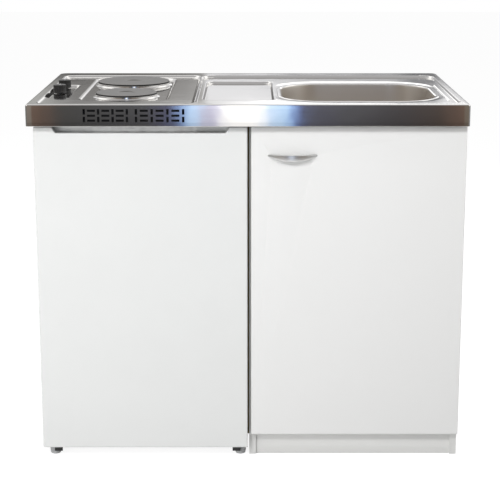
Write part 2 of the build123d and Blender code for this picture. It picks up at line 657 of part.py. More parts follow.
# The handle is cut from a curved bar: seen from above it bows out from the door, and seen from the
# front it is a crescent, deepest in its middle
handle_end, handle_foot, handle_bar = handle_span / 2 + 9, 10, 6
handle_half, handle_belly = 2.5, 10.5
with BuildPart() as door_handle:
    with BuildSketch(Plane.XY.offset(handle_z - 2 * handle_belly)) as bow:
        with BuildLine() as bow_outline:
            outside = ThreePointArc(
                (handle_x - handle_end, cabinet_door_front),
                (handle_x, cabinet_door_front - handle_reach),
                (handle_x + handle_end, cabinet_door_front),
            )
            inside = ThreePointArc(
                (handle_x + handle_end - handle_foot, cabinet_door_front),
                (handle_x, cabinet_door_front - handle_reach + handle_bar),
                (handle_x - handle_end + handle_foot, cabinet_door_front),
            )
            Line(outside @ 1, inside @ 0)
            Line(inside @ 1, outside @ 0)
        make_face()
    extrude(amount=4 * handle_belly)
    with BuildSketch(Plane.XZ.offset(-cabinet_door_front)) as crescent:
        with BuildLine() as crescent_outline:
            top = ThreePointArc(
                (handle_x - handle_end, handle_z + handle_half),
                (handle_x, handle_z + handle_half + 0.5),
                (handle_x + handle_end, handle_z + handle_half),
            )
            belly = ThreePointArc(
                (handle_x + handle_end, handle_z - handle_half),
                (handle_x, handle_z - handle_belly),
                (handle_x - handle_end, handle_z - handle_half),
            )
            Line(top @ 1, belly @ 0)
            Line(belly @ 1, top @ 0)
        make_face()
    extrude(amount=handle_reach + 5, mode=Mode.INTERSECT)
    fillet(door_handle.edges().filter_by(lambda edge: edge.length > 2 * handle_end).group_by(Axis.Y)[0], 2)
    for side in (-1, 1):
        screw_x = handle_x + side * handle_span / 2
        rod(screw_x, (cabinet_door_front - 5, cabinet_door_front), handle_z, 2, Mode.SUBTRACT)
write(door_handle, "door_handle")

with BuildPart() as handle_screws:
    for side in (-1, 1):
        rod(handle_x + side * handle_span / 2, (cabinet_door_front - 5, door_rear), handle_z, 2)
        rod(handle_x + side * handle_span / 2, (door_rear, door_rear + 2.5), handle_z, 4)
write(handle_screws, "handle_screws")

# Concealed hinges: an arm on the side panel, a link that slides forward in it, and a cup in the
# door that turns on the link's pin
link_x, link_half, hinge_pin = (hinge_x - 16, hinge_x - 8), 5, 1.5
arm_gap, arm_y = 0.3, (cabinet_y[0] + 4, cabinet_y[0] + 64)
with BuildPart() as hinge_arms:
    for level in hinge_levels:
        block((link_x[0] - 2, inside_x[1]), arm_y, grown((level, level), link_half + 2.3))
        block((inside_x[1] - 2, inside_x[1]), (arm_y[0] + 20, arm_y[1]), grown((level, level), 24))
        block(grown(link_x, arm_gap), arm_y, grown((level, level), link_half + arm_gap), Mode.SUBTRACT)
write(hinge_arms, "hinge_arms")

with BuildPart() as hinge_links:
    for level in hinge_levels:
        block(link_x, (hinge_y - 3, arm_y[1] - 6), grown((level, level), link_half))
        block((link_x[1], hinge_x), grown((hinge_y, hinge_y), 3), grown((level, level), link_half))
        post(hinge_x, hinge_y, grown((level, level), link_half), 3)
        post(hinge_x, hinge_y, grown((level, level), link_half), hinge_pin + running, Mode.SUBTRACT)
write(hinge_links, "hinge_links")

boss = (link_half + 0.4, 9)
with BuildPart() as hinge_cups:
    for level in hinge_levels:
        rod(cup_x, (door_rear - cup_depth, door_rear), level, cup_radius)
        block(grown((cup_x, cup_x), cup_radius), (door_rear, door_rear + 1.2), grown((level, level), 26))
        rod(cup_x, (door_rear - cup_depth + 1, door_rear + 2), level, cup_radius - 1, Mode.SUBTRACT)
        for side in (-1, 1):
            ends = sorted((level + side * boss[0], level + side * boss[1]))
            block((hinge_x - 5, hinge_x + 2.3), (door_rear - cup_depth + 0.5, hinge_y + 3), ends)
        post(hinge_x, hinge_y, grown((level, level), boss[1]), hinge_pin)
write(hinge_cups, "hinge_cups")
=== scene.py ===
import json
import math

import bmesh
import bpy
import numpy as np
from mathutils import Matrix, Vector

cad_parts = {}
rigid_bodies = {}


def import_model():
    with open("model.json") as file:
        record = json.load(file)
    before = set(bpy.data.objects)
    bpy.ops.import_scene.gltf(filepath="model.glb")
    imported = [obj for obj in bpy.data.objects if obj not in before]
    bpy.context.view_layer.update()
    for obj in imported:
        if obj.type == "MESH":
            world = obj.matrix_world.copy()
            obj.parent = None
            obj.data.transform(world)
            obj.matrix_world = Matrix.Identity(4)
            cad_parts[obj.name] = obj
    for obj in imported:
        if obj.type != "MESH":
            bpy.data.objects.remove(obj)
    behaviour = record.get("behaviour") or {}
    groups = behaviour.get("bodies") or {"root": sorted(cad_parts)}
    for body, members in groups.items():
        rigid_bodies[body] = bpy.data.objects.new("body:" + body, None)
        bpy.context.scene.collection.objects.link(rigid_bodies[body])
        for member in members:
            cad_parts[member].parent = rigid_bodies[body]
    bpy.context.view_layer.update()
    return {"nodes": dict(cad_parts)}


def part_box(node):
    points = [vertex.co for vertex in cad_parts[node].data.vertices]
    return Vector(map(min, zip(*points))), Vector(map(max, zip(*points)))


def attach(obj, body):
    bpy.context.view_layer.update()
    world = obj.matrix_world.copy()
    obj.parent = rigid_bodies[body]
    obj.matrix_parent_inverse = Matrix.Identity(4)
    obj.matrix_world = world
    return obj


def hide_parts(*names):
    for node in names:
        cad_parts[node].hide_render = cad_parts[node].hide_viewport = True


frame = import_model()

# Studio: a white floor that runs out to a white surround, seven area lamps, and tinted cards that
# stand round the unit and close over it. Only glossy surfaces see the cards, the way polished
# steel shows a studio's walls and softboxes, and other pieces keep their own colours.


def linear(code):
    """Turns an sRGB hex colour into linear red, green and blue, with an alpha of 1."""
    channels = np.array([int(code[at:at + 2], 16) for at in (0, 2, 4)]) / 255
    bright = ((channels + 0.055) / 1.055) ** 2.4
    return (*np.where(channels > 0.04045, bright, channels / 12.92), 1.0)


def add_node(tree, kind, inputs=None, **settings):
    """Adds a node, gives it its settings, and links or sets the inputs that are named."""
    made = tree.nodes.new(kind)
    for name, value in settings.items():
        setattr(made, name, value)
    for name, value in (inputs or {}).items():
        if isinstance(value, bpy.types.NodeSocket):
            tree.links.new(value, made.inputs[name])
        else:
            made.inputs[name].default_value = value
    return made


def new_look(name):
    """Makes a material without nodes and returns it with its tree and its surface socket."""
    look = bpy.data.materials.new(name)
    look.use_nodes = True
    look.node_tree.nodes.clear()
    output = add_node(look.node_tree, "ShaderNodeOutputMaterial")
    return look, look.node_tree, output.inputs["Surface"]


def set_stops(ramp, stops):
    """Gives a colour ramp its (position, colour) stops."""
    while len(ramp.color_ramp.elements) < len(stops):
        ramp.color_ramp.elements.new(0.5)
    for element, (position, colour) in zip(ramp.color_ramp.elements, stops):
        element.position = position
        element.color = linear(colour)


def seen_directly(tree):
    """A value that is 1 for camera, glossy and transmission rays and 0 for the rest."""
    path = add_node(tree, "ShaderNodeLightPath").outputs
    shown = add_node(tree, "ShaderNodeMath", {
        0: path["Is Camera Ray"], 1: path["Is Glossy Ray"]}, operation="MAXIMUM")
    return add_node(tree, "ShaderNodeMath", {
        0: shown.outputs[0], 1: path["Is Transmission Ray"]}, operation="MAXIMUM")


def placed(name, data):
    """Makes an object of a mesh, a lamp or a camera and puts it into the scene."""
    made = bpy.data.objects.new(name, data)
    bpy.context.scene.collection.objects.link(made)
    return made


weld = 1e-6  # metres within which two points are one


def surface(name, points, around=False, keep=None, wall=0, sharp=40):
    """Makes a mesh object from a grid of points in millimetres, with a quad for each cell.

    around joins the last column to the first, keep is a mask of the cells that stay, wall gives
    the sheet a thickness inwards, with its inside in the second look, and edges that turn by more
    than sharp degrees show. Rows that run upwards have their columns anticlockwise from above.
    """
    rows, columns = points.shape[:2]
    index = np.arange(rows * columns).reshape(rows, columns)
    if around:
        index = np.hstack([index, index[:, :1]])
    cells = np.stack([index[:-1, :-1], index[:-1, 1:], index[1:, 1:], index[1:, :-1]], axis=-1)
    cells = cells.reshape(-1, 4) if keep is None else cells[keep]
    used, cells = np.unique(cells, return_inverse=True)
    mesh = bpy.data.meshes.new(name)
    mesh.from_pydata((points.reshape(-1, 3)[used] / 1000).tolist(), [], cells.reshape(-1, 4).tolist())
    built = bmesh.new()
    built.from_mesh(mesh)
    bmesh.ops.remove_doubles(built, verts=built.verts, dist=weld)
    if wall:
        outside = len(built.faces)
        bmesh.ops.solidify(built, geom=built.faces[:], thickness=wall / 1000)
        for number, face in enumerate(built.faces):
            face.material_index = int(number >= outside)
    built.to_mesh(mesh)
    built.free()
    mesh.shade_smooth()
    mesh.set_sharp_from_angle(angle=math.radians(sharp))
    return placed(name, mesh)


# The floor lies half a millimetre down. Rays that show it see it part paper and part glow, which
# lifts it to white and still leaves the unit's shadow on it.
floor_half, floor_z = 14000, -0.5
glow_share, glow_strength = 0.45, 1.98
floor_grid = np.stack(np.meshgrid([-floor_half, floor_half], [-floor_half, floor_half]), axis=-1)
floor = surface("studio_floor", np.dstack([floor_grid, np.full((2, 2), floor_z)]))
look, tree, end = new_look("white_studio_floor")
share = add_node(tree, "ShaderNodeMath", {
    0: seen_directly(tree).outputs[0], 1: glow_share}, operation="MULTIPLY")
paper = add_node(tree, "ShaderNodeBsdfDiffuse", {"Color": linear("c2c2c2")})
glow = add_node(tree, "ShaderNodeEmission", {"Color": linear("ffffff"), "Strength": glow_strength})
both = add_node(tree, "ShaderNodeMixShader", {
    0: share.outputs[0], 1: paper.outputs[0], 2: glow.outputs[0]})
tree.links.new(both.outputs[0], end)
floor.data.materials.append(look)

world = bpy.data.worlds.new("white_surround")
bpy.context.scene.world = world
world.use_nodes = True
tree = world.node_tree
tree.nodes.clear()
# The surround lights the unit at room_light, and shows as plain white
room_light, shown_white = 0.28, 1.0
air = add_node(tree, "ShaderNodeBackground", {"Color": linear("ffffff"), "Strength": room_light})
backdrop = add_node(tree, "ShaderNodeBackground", {"Color": linear("ffffff"), "Strength": shown_white})
both = add_node(tree, "ShaderNodeMixShader", {
    0: seen_directly(tree).outputs[0], 1: air.outputs[0], 2: backdrop.outputs[0]})
add_node(tree, "ShaderNodeOutputWorld", {"Surface": both.outputs[0]})

# The cards stand in a ring that curves in to a ceiling. Their front is a dark room with one bright
# softbox and warm ends, dimmer below. Their back is a wall with one light panel, half as bright in
# its lower part. Above the wall comes a band that is grey on the left and white on the right, then
# an even grey, then a long softbox overhead.
card_radius, card_height, ceiling_bend = 3000, 2300, 1200
ceiling = card_height + ceiling_bend
card_turn = np.linspace(0, 2 * math.pi, 97)[None, :-1]
bend_turn = np.linspace(0, math.pi / 2, 9)[1:]
card_reach = np.concatenate([
    np.full(5, card_radius),
    card_radius - ceiling_bend + ceiling_bend * np.cos(bend_turn),
    [900, 0],
])[:, None]
card_z = np.concatenate([
    np.linspace(-20, card_height, 5),
    card_height + ceiling_bend * np.sin(bend_turn),
    [ceiling, ceiling],
])[:, None]
cards = surface("reflection_cards", np.dstack([
    card_reach * np.cos(card_turn), card_reach * np.sin(card_turn), card_z + 0 * card_turn]), around=True)

# Where one part of the cards passes into the next, in metres: how far the ramps reach either way,
# the end of the front along Y, and the heights of the passages
ramp_half, front_end = 1.05, (-2.2, -1.2)
front_foot, wall_foot, wall_top = (0.36, 0.47), (1.172, 1.19), (1.296, 1.306)
band_top, ceiling_ramp = (1.45, 1.7), (1.2, 3.5)
front_dim, wall_dim, card_glow = (0.78, 1.15), (0.5, 1.0), 2.0
look, tree, end = new_look("tinted_cards")
axes = add_node(tree, "ShaderNodeSeparateXYZ", {0: add_node(tree, "ShaderNodeTexCoord").outputs["Object"]})
at_x, at_y, at_z = axes.outputs
across = add_node(tree, "ShaderNodeMapRange", {0: at_x, 1: -ramp_half, 2: ramp_half}).outputs[0]
front = add_node(tree, "ShaderNodeValToRGB", {0: across})
set_stops(front, (
    (0.04, "6c655f"), (0.08, "594941"), (0.13, "3e3e3e"), (0.30, "454548"), (0.345, "4a4a60"),
    (0.365, "7690c0"), (0.38, "adc8e8"), (0.40, "b4cdec"), (0.415, "afaabd"), (0.435, "c0c0d6"),
    (0.452, "ffffff"), (0.518, "ffffff"), (0.538, "c2d6f0"), (0.575, "b0cdec"), (0.590, "8fb0e4"),
    (0.602, "4a5388"), (0.614, "4d4d58"), (0.70, "4a4a4e"), (0.80, "3f3d3f"), (0.88, "423b38"),
    (0.93, "5a4a42"), (0.965, "605850"),
))
fall = add_node(tree, "ShaderNodeMapRange", {
    0: at_z, 1: front_foot[0], 2: front_foot[1], 3: front_dim[0], 4: front_dim[1]})
rising = add_node(tree, "ShaderNodeMix", {
    0: 1.0, 6: front.outputs[0], 7: fall.outputs[0]}, data_type="RGBA", blend_type="MULTIPLY")
back = add_node(tree, "ShaderNodeValToRGB", {0: across})
set_stops(back, (
    (0.04, "8a8a88"), (0.12, "626160"), (0.25, "686664"), (0.36, "787776"), (0.395, "858483"),
    (0.41, "bcbcbe"), (0.50, "bababc"), (0.60, "acacae"), (0.80, "a4a4a6"), (0.86, "767678"),
    (0.90, "7c7c7e"), (0.93, "acacae"),
))
dusk = add_node(tree, "ShaderNodeMapRange", {
    0: at_z, 1: wall_foot[0], 2: wall_foot[1], 3: wall_dim[0], 4: wall_dim[1]})
low = add_node(tree, "ShaderNodeMix", {
    0: 1.0, 6: back.outputs[0], 7: dusk.outputs[0]}, data_type="RGBA", blend_type="MULTIPLY")
upwards = add_node(tree, "ShaderNodeMapRange", {0: at_z, 1: ceiling_ramp[0], 2: ceiling_ramp[1]}).outputs[0]
lofty = add_node(tree, "ShaderNodeValToRGB", {0: upwards})
set_stops(lofty, (
    (0.20, "c0c0c2"), (0.50, "b4b4b6"), (0.60, "f0f0f0"), (0.93, "f0f0f0"), (0.97, "9c9c9e"),
))
shade = add_node(tree, "ShaderNodeValToRGB", {0: across})
set_stops(shade, ((0.10, "868686"), (0.40, "a8a8a8"), (0.55, "ffffff"), (0.90, "ffffff")))
rise = add_node(tree, "ShaderNodeMapRange", {0: at_z, 1: band_top[0], 2: band_top[1]}).outputs[0]
above = add_node(tree, "ShaderNodeMix", {0: rise, 6: shade.outputs[0], 7: lofty.outputs[0]}, data_type="RGBA")
high = add_node(tree, "ShaderNodeMapRange", {0: at_z, 1: wall_top[0], 2: wall_top[1]}).outputs[0]
wall = add_node(tree, "ShaderNodeMix", {0: high, 6: low.outputs[2], 7: above.outputs[2]}, data_type="RGBA")
side = add_node(tree, "ShaderNodeMapRange", {0: at_y, 1: front_end[0], 2: front_end[1]}).outputs[0]
tint = add_node(tree, "ShaderNodeMix", {0: side, 6: rising.outputs[2], 7: wall.outputs[2]}, data_type="RGBA")
glow = add_node(tree, "ShaderNodeEmission", {"Color": tint.outputs[2], "Strength": card_glow})
tree.links.new(glow.outputs[0], end)
cards.data.materials.append(look)
cards.visible_camera = False
cards.visible_diffuse = False
cards.visible_transmission = False
cards.visible_shadow = False

# Each lamp's place and side are in metres and its power in watts. The key lamp is small, so that
# the worktop's front throws a clear shadow, and the broader ones soften it.
lamps = (
    ("key_lamp", (-1.4, -2.6, 2.37), 0.35, 33),
    ("fill_lamp", (0.6, -1.7, 1.75), 0.5, 11),
    ("level_lamp", (-1.3, -2.4, 0.95), 1.2, 6),
    ("low_lamp", (-1.7, -2.0, 0.3), 1.2, 20),
    ("side_lamp", (3.2, -0.3, 1.4), 1.6, 16),
    ("back_lamp", (0.6, 3.2, 1.6), 1.6, 14),
    ("top_lamp", (0.0, 0.0, 3.2), 2.6, 34),
)
lamp_target = Vector((0, 0, 0.5))
for name, place, size, power in lamps:
    lamp = placed(name, bpy.data.lights.new(name, "AREA"))
    lamp.data.size = size
    lamp.data.energy = power
    lamp.location = place
    lamp.visible_glossy = False
    lamp.rotation_euler = (lamp_target - Vector(place)).to_track_quat("-Z", "Y").to_euler()

looking_down = 12.06
camera = placed("camera", bpy.data.cameras.new("camera"))
camera.data.sensor_width = 36
camera.data.lens = 98.45
camera.data.shift_y = -0.10
camera.location = (0.0048, -3.339, 1.281)
camera.rotation_euler = (math.radians(90 - looking_down), 0, 0)
bpy.context.scene.camera = camera
bpy.context.scene.view_settings.view_transform = "Standard"

# Worktop: one stainless sheet 1 mm thick, pressed and polished. Its skirt is folded down all round
# and turned in at the foot, and the front of the skirt is punched with air slots for the hob. It
# lies on the cabinet's sides and on battens over the fridge.


def corners(node):
    """The lowest and highest corner of a node of the frame, in millimetres."""
    low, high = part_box(node)
    return np.array(low) * 1000, np.array(high) * 1000


def dress(piece, slot, *nodes, looks):
    """Gives a piece its looks, and has it stand for nodes of the frame and move with their body."""
    for look in looks:
        piece.data.materials.append(look)
    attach(piece, frame["nodes"][nodes[0]].parent.name.split(":")[1])
    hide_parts(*nodes)


def outline_distance(x, y, box, corner):
    """Distance to a rounded rectangle, negative inside: the distance to the rectangle shrunk by
    the corner's radius, less that radius."""
    out_x = np.abs(x - (box[0] + box[1]) / 2) - ((box[1] - box[0]) / 2 - corner)
    out_y = np.abs(y - (box[2] + box[3]) / 2) - ((box[3] - box[2]) / 2 - corner)
    beyond = np.hypot(np.maximum(out_x, 0), np.maximum(out_y, 0))
    return beyond + np.minimum(np.maximum(out_x, out_y), 0) - corner


def smooth_fall(distance, start, end):
    """0 beyond start and 1 beyond end, with a smooth step (3t^2 - 2t^3) between them."""
    t = np.clip((start - distance) / (start - end), 0, 1)
    return t * t * (3 - 2 * t)


def ruled(low, high, coarse, *bands):
    """Grid lines from low to high, coarse apart, and finer within each (start, end, step)."""
    plain = np.linspace(low, high, max(2, round((high - low) / coarse) + 1))
    fine = []
    for start, stop, step in bands:
        plain = plain[(plain <= start) | (plain >= stop)]
        fine.append(np.linspace(start, stop, round((stop - start) / step) + 1))
    return np.unique(np.round(np.concatenate([plain, [low, high], *fine]), 3))


def loop(half_x, half_y, front_corner, back_corner, front_shares, turn_steps=10):
    """Points round a rounded rectangle about the origin, anticlockwise from its front left: each
    side is a straight run between two corners, and each corner is a quarter of a circle.

    The half sizes and corner radii are columns, so that each row is a loop of its own, and
    front_shares are the places, from -1 to 1, at which the front side has points. The other
    sides have 24 steps each.
    """
    shares = np.linspace(-1, 1, 25)[None, :-1]
    turn = np.linspace(0, math.pi / 2, turn_steps + 1)[None, :-1]
    front_x, back_x = half_x - front_corner, half_x - back_corner
    low_y, high_y = front_corner - half_y, half_y - back_corner
    middle_y, reach_y = (low_y + high_y) / 2, (high_y - low_y) / 2
    front_side = front_shares[None, :-1]
    x = np.hstack([
        front_x * front_side, front_x + front_corner * np.sin(turn), half_x + 0 * shares,
        back_x + back_corner * np.cos(turn), -back_x * shares, -back_x - back_corner * np.sin(turn),
        -half_x + 0 * shares, -front_x - front_corner * np.cos(turn),
    ])
    y = np.hstack([
        -half_y + 0 * front_side, low_y - front_corner * np.cos(turn), middle_y + reach_y * shares,
        high_y + back_corner * np.sin(turn), half_y + 0 * shares, high_y + back_corner * np.cos(turn),
        middle_y - reach_y * shares, low_y - front_corner * np.sin(turn),
    ])
    return x, y


sheet_low, sheet_high = corners("worktop")
half_width, half_depth = sheet_high[0], sheet_high[1]
foot, top = sheet_low[2], sheet_high[2]
# The sheet is drawn a tenth of a millimetre thinner than the real one
bend, fold, border, thickness = 4.0, 0.8, 16.0, 0.9
front_round, back_round = 6.0, 20.0

vent_level = top - 25
vent_groups = ((-368, 32.2), (-251, 35.3))
upright_slot, upright_rows = (5.4, 12.6), (vent_level - 8.7, vent_level + 8.7)
level_slot, level_rows = (18.0, 5.0), (vent_level - 11.2, vent_level, vent_level + 11.2)
slots = [
    (start + column * pitch, level, *upright_slot)
    for start, pitch in vent_groups for column in range(4) for level in upright_rows
] + [
    (start + (column + 0.5) * pitch, level, *level_slot)
    for start, pitch in vent_groups for column in range(3) for level in level_rows
]
slot_x, slot_z, slot_width, slot_height = np.array(slots).T
slot_edges = np.concatenate([slot_x - slot_width / 2, slot_x + slot_width / 2])
slot_levels = np.unique(np.concatenate([slot_z - slot_height / 2, slot_z + slot_height / 2]))

# The skirt's profile as insets and heights: return fold, upright face, top bend and border
quarter = np.linspace(0, math.pi / 2, 7)
profile = np.array([
    (12.0, foot + 0.4), (2.0, foot + 0.1),
    *zip(fold - fold * np.sin(quarter), foot + 0.1 + fold - fold * np.cos(quarter)),
    *((0.0, level) for level in slot_levels),
    *zip(bend - bend * np.cos(quarter), top - bend + bend * np.sin(quarter)), (10.0, top), (border, top),
])
inset, level = profile[:, :1], profile[:, 1:]
front_shares = np.concatenate([np.linspace(-1, 1, 101), slot_edges / (half_width - front_round)])
left_over = 1 - np.clip(inset / border, 0, 1)
x, y = loop(
    half_width - inset, half_depth - inset, front_round * left_over, back_round * left_over,
    np.unique(front_shares.round(6)),
)
cell_x, cell_y = (x[:-1, :-1] + x[:-1, 1:]) / 2, (y[:-1, :-1] + y[:-1, 1:]) / 2
cell_z = (level[:-1] + level[1:]) / 2 + 0 * cell_x
punched = np.zeros(cell_x.shape, bool)
for x_mid, z_mid, width, height in slots:
    within = (np.abs(cell_x - x_mid) < width / 2) & (np.abs(cell_z - z_mid) < height / 2)
    punched |= within & (cell_y < -half_depth + 2)
keep = np.hstack([~punched, np.ones((len(profile) - 1, 1), bool)])
skirt = surface("worktop_skirt", np.dstack([x, y, level + 0 * x]), around=True, keep=keep, wall=thickness)

# The pressed top as a height over the plan: the border's level, less each pressing's depth by how
# far a point lies inside its outline, plus the bead beside the bowl. A pressing is its outline
# (left, right, front, back), its corners' radius, its depth, and the distances from the outline at
# which its slope starts and ends.
at_front = -half_depth
hob_field = ((-477, -125, at_front + 20, at_front + 545), 25, 5.0, (3, -4))
sink_field = ((-119, 482, at_front + 20, at_front + 545), 40, 5.0, (2, -2))
knob_recess = ((-474, -422, at_front + 151, at_front + 385), 10, 4.0, (1, -4))
plate_recess = ((-393, -187, at_front + 100, at_front + 530), 40, 4.0, (1, -4))
drainer_tray = ((-105, 60, at_front + 110, at_front + 456), 20, 5.0, (1, -4))
pressings = (hob_field, sink_field, knob_recess, plate_recess, drainer_tray)
bead_line, bead_ends, bead_half, bead_height = 466.0, (at_front + 100, at_front + 380), 2.4, 2.4
bowl_low, bowl_high = corners("sink_bowl")
bowl_middle, bowl_lip = (bowl_low + bowl_high) / 2, 8.0
bowl_half, bowl_corner = (bowl_high - bowl_low)[:2] / 2 - bowl_lip, 100.0
bowl_mouth = [bowl_middle[axis] + side * bowl_half[axis] for axis in (0, 1) for side in (-1, 1)]
dish_reach, dish_drop, dish_behind = 26.0, 0.8, 25
dish_floor = [*bowl_mouth[:3], bowl_mouth[3] + dish_behind]


def disc(node):
    """The middle and the radius of a round node, seen from above."""
    low, high = corners(node)
    return (low[:2] + high[:2]) / 2, (high[0] - low[0]) / 2


plates = {name: disc(f"hotplate_{name}")[0] for name in ("front", "rear")}
plate_radii = {"front": 72.5, "rear": 90.0}
knobs = {name: disc(f"knob_{name}") for name in ("front", "rear")}


def sheet_level(x, y):
    """The height of the pressed sheet over the points of a plan, in millimetres. Round the bowl
    the drawing has pulled the sheet down into a shallow dish."""
    level = np.full(x.shape, top)
    for box, corner, drop, (start, end) in pressings:
        level -= drop * smooth_fall(outline_distance(x, y, box, corner), start, end)
    level -= dish_drop * smooth_fall(outline_distance(x, y, dish_floor, bowl_corner), dish_reach, 0)
    beyond = np.maximum(np.maximum(bead_ends[0] - y, y - bead_ends[1]), 0)
    return level + bead_height * smooth_fall(np.hypot(x - bead_line, beyond), bead_half, 0)


# How far the sheet stays off the bowl's mouth, how far it reaches in under a plate, and the radius
# of its holes for the spindles
mouth_gap, plate_lap, spindle_hole = 1.5, 6, 5


def pressed_half(name, lines_x, lines_y):
    """One half of the pressed top: sheet_level over a grid, with the cells over an opening left
    out."""
    x, y = np.meshgrid(lines_x, lines_y)
    cut = outline_distance(x, y, bowl_mouth, bowl_corner) < mouth_gap
    for plate, centre in plates.items():
        cut |= np.hypot(x - centre[0], y - centre[1]) < plate_radii[plate] - plate_lap
    for centre, _ in knobs.values():
        cut |= np.hypot(x - centre[0], y - centre[1]) < spindle_hole
    cut_cells = cut[:-1, :-1] | cut[1:, :-1] | cut[:-1, 1:] | cut[1:, 1:]
    return surface(name, np.dstack([x, y, sheet_level(x, y)]), keep=~cut_cells, wall=thickness)


inner_x, inner_y, seam = half_width - border, half_depth - border, -122
hob_half = pressed_half(
    "worktop_hob_half",
    ruled(-inner_x, seam, 2.7, (-482, -472, 1.2), (-132, seam, 1.0)),
    ruled(-inner_y, inner_y, 2.7),
)
sink_half = pressed_half(
    "worktop_sink_half",
    ruled(seam, inner_x, 8, (seam, -112, 1.0), (-108, -98, 1.2), (50, 458, 3.0), (458, inner_x, 1.2)),
    ruled(-inner_y, inner_y, 4.5, (-inner_y, -176, 2.2), (128, 280, 2.2)),
)


def polished_steel(name, roughness=0.06, waviness=0.00025):
    """Stainless sheet from the rolling mill, polished: a clear mirror that is drawn out by the
    faint polishing lines along X, over a slow unevenness left by the press. The lines are about
    4 mm apart, because the real ones are too fine to show."""
    look, tree, end = new_look(name)
    place = add_node(tree, "ShaderNodeTexCoord").outputs["Object"]
    along = add_node(tree, "ShaderNodeMapping", {"Vector": place, "Scale": (6, 260, 260)})
    lines = add_node(tree, "ShaderNodeTexNoise", {"Vector": along.outputs[0], "Scale": 1.0, "Detail": 3.0})
    slow = add_node(tree, "ShaderNodeTexNoise", {"Vector": place, "Scale": 13.0, "Detail": 1.5})
    press = add_node(tree, "ShaderNodeBump", {
        "Height": slow.outputs["Fac"], "Strength": 1.0, "Distance": waviness})
    brush = add_node(tree, "ShaderNodeBump", {
        "Height": lines.outputs["Fac"], "Strength": 1.0, "Distance": 0.000004, "Normal": press.outputs[0]})
    dull = add_node(tree, "ShaderNodeMapRange", {
        0: lines.outputs["Fac"], 3: roughness * 0.7, 4: roughness * 1.4})
    shader = add_node(tree, "ShaderNodeBsdfPrincipled", {
        "Base Color": linear("c9c7c4"), "Metallic": 1.0, "Roughness": dull.outputs[0],
        "Normal": brush.outputs[0]})
    tree.links.new(shader.outputs[0], end)
    return look


def speckled(name, dark, light, roughness, grain=90.0, depth=0.00005, metallic=0.0):
    """A coating or a moulding whose colour wavers between two near ones, with a fine grain.

    grain is the number of grains along 250 mm, and depth is the grain's height in metres. The
    grains are 1 to 6 mm wide, coarser than the real ones so that they show.
    """
    look, tree, end = new_look(name)
    place = add_node(tree, "ShaderNodeTexCoord").outputs["Object"]
    cloud = add_node(tree, "ShaderNodeTexNoise", {"Vector": place, "Scale": 9.0, "Detail": 3.0})
    tone = add_node(tree, "ShaderNodeMix", {
        0: cloud.outputs["Fac"], 6: linear(dark), 7: linear(light)}, data_type="RGBA")
    grains = add_node(tree, "ShaderNodeTexNoise", {"Vector": place, "Scale": 4 * grain, "Detail": 2.0})
    relief = add_node(tree, "ShaderNodeBump", {
        "Height": grains.outputs["Fac"], "Strength": 1.0, "Distance": depth})
    shader = add_node(tree, "ShaderNodeBsdfPrincipled", {
        "Base Color": tone.outputs[2], "Roughness": roughness, "Metallic": metallic,
        "Normal": relief.outputs[0]})
    tree.links.new(shader.outputs[0], end)
    return look


sheet_steel = polished_steel("polished_stainless_sheet")
# Bitumen sprayed inside the worktop so that it doesn't ring: a dull, near-black grey.
# Its darkness is also painted shade for the back of the sheet and the air slots, which lie in shade
# under the worktop.
damping_coat_and_shade = speckled("grey_damping_coat", "2a2a2b", "343435", 0.85)
for piece in (skirt, hob_half, sink_half):
    dress(piece, "polished_steel", "worktop", looks=(sheet_steel, damping_coat_and_shade))

# Bowl: deep-drawn from its own stainless blank, satin inside, with a rounded lip laid over the
# edge of the opening, walls that lean in and a floor that falls to the waste.
bowl_gauge, floor_fall, satin_drop = 0.8, 1.6, 1.5
rim_level, floor_level = bowl_high[2] - dish_drop, bowl_low[2] + 1
lean, lip_round, lip_lap, foot_round = math.radians(4), 4.0, 1.0, 28.0
waste_radius, waste_hole = 56.0, 45
lip = np.linspace(0, math.pi / 2 - lean, 9)
turn = np.linspace(lean, math.pi / 2, 13)
wall_start = np.array([
    lip_round * math.sin(lip[-1]) - lip_lap, rim_level - lip_round + lip_round * math.cos(lip[-1])])
foot_level = floor_level + floor_fall
wall_end = foot_level + foot_round * (1 - math.sin(lean))
wall_levels = np.linspace(wall_start[1], wall_end, 14)[1:-1]
wall_insets = wall_start[0] + (wall_start[1] - wall_levels) * math.tan(lean)
end_inset = wall_start[0] + (wall_start[1] - wall_end) * math.tan(lean)
# The bowl's profile as insets and heights: flange, lip, wall and the bend at its foot
profile = np.array([
    (-8.0, rim_level - 1.1), (-7.6, rim_level - 0.5), (-6.8, rim_level - 0.1), (-5.5, rim_level),
    *zip(lip_round * np.sin(lip) - lip_lap, rim_level - lip_round + lip_round * np.cos(lip)),
    *zip(wall_insets, wall_levels),
    *zip(
        end_inset + foot_round * (math.cos(lean) - np.cos(turn)),
        foot_level + foot_round * (1 - np.sin(turn)),
    ),
])
inset, level = profile[:, :1], profile[:, 1:]
corner = bowl_corner - inset
x, y = loop(bowl_half[0] - inset, bowl_half[1] - inset, corner, corner, np.linspace(-1, 1, 25), turn_steps=20)
# The floor blends from the last loop of the profile to the round edge of the waste
bearing = np.arctan2(y[-1:], x[-1:])
blend_in = np.linspace(0, 1, 10)[1:, None]
x = np.vstack([
    x, (1 - blend_in) * x[-1:] + blend_in * waste_radius * np.cos(bearing), waste_hole * np.cos(bearing)])
y = np.vstack([
    y, (1 - blend_in) * y[-1:] + blend_in * waste_radius * np.sin(bearing), waste_hole * np.sin(bearing)])
level = np.vstack([level, foot_level - (foot_level - floor_level) * blend_in, [[floor_level - 0.2]]])
bowl = surface("bowl", np.dstack([
    x + bowl_middle[0], y + bowl_middle[1], level + 0 * x]), around=True, wall=bowl_gauge)


